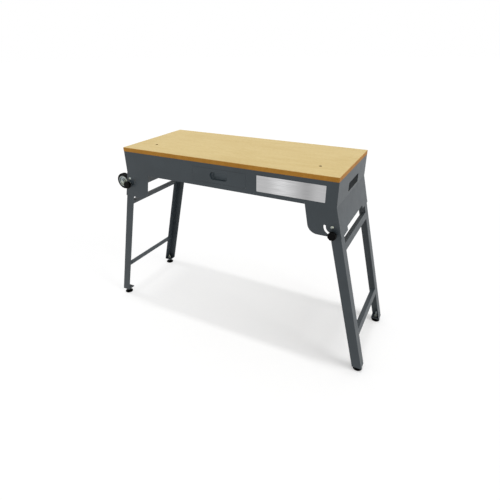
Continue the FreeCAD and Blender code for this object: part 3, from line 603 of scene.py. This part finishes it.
def bracket_hardware():
    """Bolts that hold the wheel brackets on the left wall, and the nuts inside it."""
    radius, head_height, shank_radius = 5.5 * MM, 4 * MM, 3 * MM
    wall = left_wall()
    bolts, nuts = [], []
    for low, high in solids("wheel_bracket_bolts", wall):
        spot = middle(low, high)
        turn = wall @ Matrix.Translation((spot.x, spot.y, high.z - head_height))
        bolts.append(placed(hexagon_head(radius, head_height), turn))
        bolts.append(placed(rod(shank_radius, 0, high.z - low.z - head_height), turn @ UPSIDE_DOWN))
    for low, high in solids("wheel_bracket_nuts", wall):
        spot = middle(low, high)
        turn = wall @ Matrix.Translation((spot.x, spot.y, high.z)) @ UPSIDE_DOWN
        nuts.append(placed(nut(radius, high.z - low.z, shank_radius), turn))
    piece("bracket_bolt_set", gather(bolts), "zinc", "bench", "wheel_bracket_bolts")
    piece("bracket_nut_set", gather(nuts), "zinc", "bench", "wheel_bracket_nuts")


def weld_bead(length):
    """Rippled bead along the Z axis, its middle at height zero."""
    radius, ripple, sides = 2 * MM, 1.7 * MM, 12
    count = round(length / ripple)
    rings = [(-length / 2, 0.35 * radius)]
    for index in range(count):
        start = -length / 2 + index * length / count
        rings += [(start + 0.2 * ripple, 0.85 * radius), (start + 0.7 * ripple, radius)]
    return stack(rings + [(length / 2, 0.35 * radius)], sides)


def frame_welds():
    """Painted beads inside the leg frames: at the crossbars' ends and along the foot tabs."""
    face_height, metal, end_gap = 30 * MM, 3 * MM, 2 * MM
    along = Matrix.Rotation(math.pi / 2, 4, "Y")
    for side, sign in zip(SIDES, (1, -1)):
        beads = []
        lean = Matrix.Rotation(-sign * LEAN, 4, "Y")
        for bar in ("upper", "lower"):
            low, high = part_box(f"{side}_{bar}_crossbar")
            face_foot = high.x if sign > 0 else low.x
            top = low.z + face_height * math.cos(LEAN)
            edge = Vector((face_foot - sign * face_height * math.sin(LEAN), 0, top))
            for y in (low.y, high.y):
                spot = edge + lean @ Vector((-sign * metal, 0, -face_height / 2)) + Vector((0, y, 0))
                bead = weld_bead(face_height - 2 * end_gap)
                beads.append(placed(bead, Matrix.Translation(spot) @ lean))
        for low, high in solids(side + "_foot_tabs"):
            outer = low.y if low.y < 0 else high.y
            spot = (middle(low, high).x, outer, high.z)
            beads.append(placed(weld_bead(0.6 * (high.x - low.x)), Matrix.Translation(spot) @ along))
        piece(side + "_frame_welds", gather(beads), "casing_paint", side + "_leg_frame")


def grip(length, radius, neck_radius, neck_length, flutes):
    """Fluted clamp knob with a ring groove around the middle of its face."""
    flute_depth, flute_sides = 1.6 * MM, 12
    soft, flare, groove, crown = 3 * MM, 1 * MM, 0.8 * MM, 0.1 * MM
    shoulder = [(soft * (1 - math.cos(angle)),
                 fluted(radius * (0.82 + 0.18 * math.sin(angle)), flutes, flute_depth))
                for angle in (0.0, 0.5, 1.0, math.pi / 2)]
    rings = [(0, neck_radius), (neck_length - flare, neck_radius), (neck_length, neck_radius + flare),
             (neck_length, 0.78 * radius)]
    rings += [(neck_length + rise, reach) for rise, reach in shoulder]
    rings += [(length - rise, reach) for rise, reach in reversed(shoulder)]
    rings += [(length, 0.74 * radius), (length - groove, 0.7 * radius), (length - groove, 0.6 * radius),
              (length - 2 * crown, 0.56 * radius), (length - crown, 0.3 * radius)]
    return stack(rings, flutes * flute_sides)


def clamp_knobs():
    """Grips that turn on the clamp bolts."""
    length, radius, neck_radius, neck_length, flutes = 22 * MM, 17 * MM, 9.5 * MM, 6 * MM, 8
    for side in SIDES:
        for row in ROWS:
            name = f"{row}_{side}"
            low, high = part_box(name + "_knob")
            spot = middle(low, high)
            seat = high.y if row == "front" else low.y
            place = Matrix.Translation((spot.x, seat, spot.z)) @ outward(spot.y)
            shape = placed(grip(length, radius, neck_radius, neck_length, flutes), place)
            piece(name + "_grip", shape, "black_plastic", name + "_clamp", name + "_knob")


def foot_moulding(radius):
    """Swivel pad with a rounded rim, a sloping shoulder and a collar around the stem."""
    height, collar, rim, sides = 13 * MM, 9 * MM, 6 * MM, 64
    rim_bend, collar_bend = 1.5 * MM, 1.2 * MM
    slope_rise, slope_reach, flare = 3.4 * MM, 3.2 * MM, 0.5 * MM
    mouth, throat, sink = 5.6 * MM, 5 * MM, 1 * MM
    rings = [(0, radius - 2 * rim_bend), (0, radius - rim_bend)]
    rings += arc(rim_bend, radius - rim_bend, rim_bend, -90, 0)[1:]
    rings += arc(rim - rim_bend, radius - rim_bend, rim_bend, 0, 65)
    rings += [(rim + slope_rise, collar + slope_reach), (height - 2 * collar_bend, collar + flare)]
    rings += arc(height - collar_bend, collar - collar_bend, collar_bend, 0, 90)
    rings += [(height, mouth), (height - sink, throat)]
    return stack(rings, sides)


def levelling_feet():
    """Pads, and threaded stems with a turned-down tip."""
    stem_radius, pitch, thread_stop = 5 * MM, 1.5 * MM, 1 * MM
    tip_length, tip_radius, tip_end = 1.2 * MM, 4.1 * MM, 3.6 * MM
    for side in SIDES:
        for row in ROWS:
            name = f"{row}_{side}_foot"
            low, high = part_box(name + "_pad")
            spot = middle(low, high)
            place = Matrix.Translation((spot.x, spot.y, low.z))
            pad = placed(foot_moulding((high.x - low.x) / 2), place)
            piece(name + "_moulding", pad, "black_plastic", name, name + "_pad")
            low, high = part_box(name + "_stem")
            shaft = gather([thread(stem_radius, pitch, low.z, high.z - thread_stop),
                            stack([(high.z - tip_length, tip_radius), (high.z, tip_end)], ROUND_SIDES)])
            place = Matrix.Translation((spot.x, spot.y, 0))
            piece(name + "_screw", placed(shaft, place), "zinc", name, name + "_stem")


def foot_nuts():
    """Nuts on the foot tabs, which the levelling stems go through."""
    radius, bore = 9.5 * MM, 5 * MM
    for side in SIDES:
        nuts = []
        for low, high in solids(f"{side}_foot_nuts"):
            spot = middle(low, high)
            place = Matrix.Translation((spot.x, spot.y, low.z))
            nuts.append(placed(nut(radius, high.z - low.z, bore), place))
        piece(f"{side}_foot_nut_pair", gather(nuts), "zinc", f"{side}_leg_frame", f"{side}_foot_nuts")


def tyre_ring(radius, wall, width):
    """Solid tyre with rounded shoulders, two tread grooves and a ridge on each side."""
    half, sides = width / 2, 96
    groove_start, groove_slope, groove_end, groove_depth = 3 * MM, 0.3 * MM, 4.6 * MM, 0.7 * MM
    shoulder, ridge_drop, ridge, step = 4 * MM, 6 * MM, 0.4 * MM, 1 * MM
    tread = [(0, radius), (groove_start, radius), (groove_start + groove_slope, radius - groove_depth),
             (groove_end - groove_slope, radius - groove_depth), (groove_end, radius)]
    bend = [(half - shoulder + shoulder * math.sin(angle), radius - shoulder + shoulder * math.cos(angle))
            for angle in (0.35, 0.7, 1.05, 1.4)]
    flank = [(half, radius - ridge_drop), (half + ridge, radius - ridge_drop - step),
             (half + ridge, radius - ridge_drop - 2 * step), (half, radius - ridge_drop - 3 * step),
             (half, radius - wall)]
    upper = tread + bend + flank
    rings = mirrored(upper) + upper[1:]
    return stack(rings + [rings[0]], sides, bored=True)


def hub_disc(rim_radius, width, boss_radius, bore, tyre_width):
    """Dished pressed hub with a rolled rim and a raised boss."""
    lip, web, bevel, sides = 3.2 * MM, 4 * MM, 0.8 * MM, 72
    boss_gap, fillet, dish_gap, dish_bend, roll = 0.4 * MM, 2.5 * MM, 4 * MM, 3 * MM, 1 * MM
    dish_radius = rim_radius - lip - dish_gap
    boss = [(width / 2, bore), (width / 2, boss_radius - bevel), (width / 2 - bevel, boss_radius)]
    root = [(web + fillet * (1 - math.sin(angle)), boss_radius + boss_gap + fillet * (1 - math.cos(angle)))
            for angle in (0.0, 0.5, 1.0, math.pi / 2)]
    dish = [(web + dish_bend * (1 - math.cos(angle)), dish_radius + dish_bend * math.sin(angle))
            for angle in (0.0, 0.4, 0.8, 1.2, math.pi / 2)]
    rim = [(tyre_width / 2 - roll, rim_radius - lip), (tyre_width / 2, rim_radius - lip + bevel),
           (tyre_width / 2, rim_radius)]
    upper = boss + root + dish + rim
    rings = upper + mirrored(upper)
    return stack(rings + [rings[0]], sides, bored=True)


def transport_wheels():
    """A tyre and a hub at the place of each wheel."""
    wall, tyre_width = 12 * MM, 22 * MM
    hub_width, boss_radius, bore = 25 * MM, 11 * MM, 7.5 * MM
    for row in ROWS:
        name = f"{row}_wheel"
        low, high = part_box(name + "_tyre")
        spot, radius = middle(low, high), (high.x - low.x) / 2
        place = Matrix.Translation(spot) @ outward(spot.y)
        tyre = placed(tyre_ring(radius, wall, tyre_width), place)
        piece(name + "_solid_tyre", tyre, "tyre", name, name + "_tyre")
        hub = placed(hub_disc(radius - wall, hub_width, boss_radius, bore, tyre_width), place)
        piece(name + "_dished_hub", hub, "zinc", name, name + "_hub")


def axle_hardware():
    """Axle bolts, and nuts against the brackets."""
    head, head_height, shank = 9.5 * MM, 6 * MM, 5 * MM
    bolts = sideways_bolts("wheel_axle_bolts", lambda: hexagon_head(head, head_height), head_height, shank)
    piece("axle_bolt_pair", bolts, "zinc", "bench", "wheel_axle_bolts")
    piece("axle_nut_pair", sideways_nuts("wheel_axle_nuts", head, shank), "zinc", "bench",
          "wheel_axle_nuts")


# Lights and floor. The floor and the world are white to the camera and in reflections.
WHITE = (1, 1, 1, 1)
WORLD_LEVEL = 0.61
STRIP_LEVEL = 0.36
STRIP_HEIGHT = 10
STRIP_SHIFT = -0.25
STRIP_LENGTH = 3.6
STRIP_WIDTH = 0.45
KEY_LEVEL = 0.37
KEY_SOFTNESS = math.radians(24)
KEY_HEIGHT = math.radians(24)
KEY_SWING = math.radians(-8)
FLOOR_SPAN = 60
FLOOR_ALBEDO = 0.9
SHADOW_KEPT_LEFT = 0.32
SHADOW_KEPT_RIGHT = 0.68
SHADOW_REACH = 3
GLOW_LEVEL = 1.03


def overhead_strip():
    """Long soft box high above the bench, in line with it."""
    lamp = bpy.data.lights.new("overhead_strip", "AREA")
    lamp.shape = "RECTANGLE"
    lamp.size = STRIP_LENGTH
    lamp.size_y = STRIP_WIDTH
    reach = STRIP_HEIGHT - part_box("worktop")[1].z
    lamp.energy = STRIP_LEVEL * math.pi ** 2 * reach ** 2
    stand("overhead_strip", lamp).location = (STRIP_SHIFT, 0, STRIP_HEIGHT)


def side_key():
    """Broad light from the right end, a little above the top."""
    lamp = bpy.data.lights.new("side_key", "SUN")
    lamp.energy = KEY_LEVEL * math.pi
    lamp.angle = KEY_SOFTNESS
    toward = Vector((math.cos(KEY_HEIGHT) * math.cos(KEY_SWING), math.cos(KEY_HEIGHT) * math.sin(KEY_SWING),
                     math.sin(KEY_HEIGHT)))
    stand("side_key", lamp).rotation_euler = toward.to_track_quat("Z", "Y").to_euler()


def emptied(owner):
    """The nodes of a world or a material, with nothing in them yet."""
    owner.use_nodes = True
    owner.node_tree.nodes.clear()
    return Shading(owner.node_tree)


def seen_directly(nodes):
    """1 for what the camera sees itself or in a reflection, 0 for the light on the object."""
    camera, glossy, through = nodes.several("ShaderNodeLightPath", {}, "Is Camera Ray", "Is Glossy Ray",
                                            "Is Transmission Ray")
    return camera.larger(glossy).larger(through)


def white_world():
    """White to the camera and in reflections, dimmer as light on the bench."""
    world = bpy.data.worlds.new("studio")
    bpy.context.scene.world = world
    nodes = emptied(world)
    level = seen_directly(nodes).ranged(0, 1, WORLD_LEVEL, 1)
    sky = nodes.add("ShaderNodeBackground", {}, {"Color": WHITE, "Strength": level})
    nodes.add("ShaderNodeOutputWorld", {}, {"Surface": sky})


def floor_material():
    """Plain as light on the bench. To the camera it glows white and keeps a share of the shadow."""
    material = bpy.data.materials.new("floor")
    nodes = emptied(material)
    plain = nodes.add("ShaderNodeBsdfDiffuse", {}, {"Color": (FLOOR_ALBEDO,) * 3 + (1,)})
    shaded = nodes.add("ShaderNodeBsdfDiffuse", {}, {"Color": WHITE})
    glow = nodes.add("ShaderNodeEmission", {}, {"Strength": GLOW_LEVEL})
    spot = nodes.add("ShaderNodeTexCoord", {}, {}, output="Object")
    distance = nodes.add("ShaderNodeVectorMath", {"operation": "LENGTH"}, {0: spot}, output="Value")
    left, right = cad_box[0][0], cad_box[1][0]
    kept = nodes.parts(spot)[0].ranged(left, right, SHADOW_KEPT_LEFT, SHADOW_KEPT_RIGHT)
    kept = kept * distance.ranged(right - left, SHADOW_REACH, 1, 0)
    seen = nodes.add("ShaderNodeMixShader", {}, {"Fac": kept, 1: glow, 2: shaded})
    choice = nodes.add("ShaderNodeMixShader", {}, {"Fac": seen_directly(nodes), 1: plain, 2: seen})
    nodes.add("ShaderNodeOutputMaterial", {}, {"Surface": choice})
    return material


def studio_floor():
    """White floor that keeps the bench's soft shadow."""
    shape = bmesh.new()
    bmesh.ops.create_circle(shape, cap_ends=True, segments=64, radius=FLOOR_SPAN / 2)
    mesh = bpy.data.meshes.new("floor")
    shape.to_mesh(mesh)
    shape.free()
    mesh.materials.append(floor_material())
    stand("floor", mesh)


make_camera()
FINISHES = {"casing_paint": casing_paint(), "plywood": plywood(), "zinc": zinc(),
            "black_plastic": black_plastic(), "tyre": tyre_rubber(), "bare_plate": brushed_plate()}
# The drawer pull gets a lighter copy of the casing paint: painted light in place of the shade that falls in
# its recess.
pull_paint_with_painted_light = casing_paint("pull_paint_with_painted_light", shade(PAINT, PULL_PAINTED_LIGHT))
for node, thing in NODES.items():
    finish = pull_paint_with_painted_light if node == "drawer_pull" else FINISHES[SLOT_OF[node]]
    for holder in thing.material_slots:
        holder.material = finish.material
pivot_hardware()
clamp_hardware()
worktop_fasteners()
bracket_hardware()
frame_welds()
clamp_knobs()
levelling_feet()
foot_nuts()
transport_wheels()
axle_hardware()
overhead_strip()
side_key()
white_world()
studio_floor()
bpy.context.scene.view_settings.view_transform = "Standard"
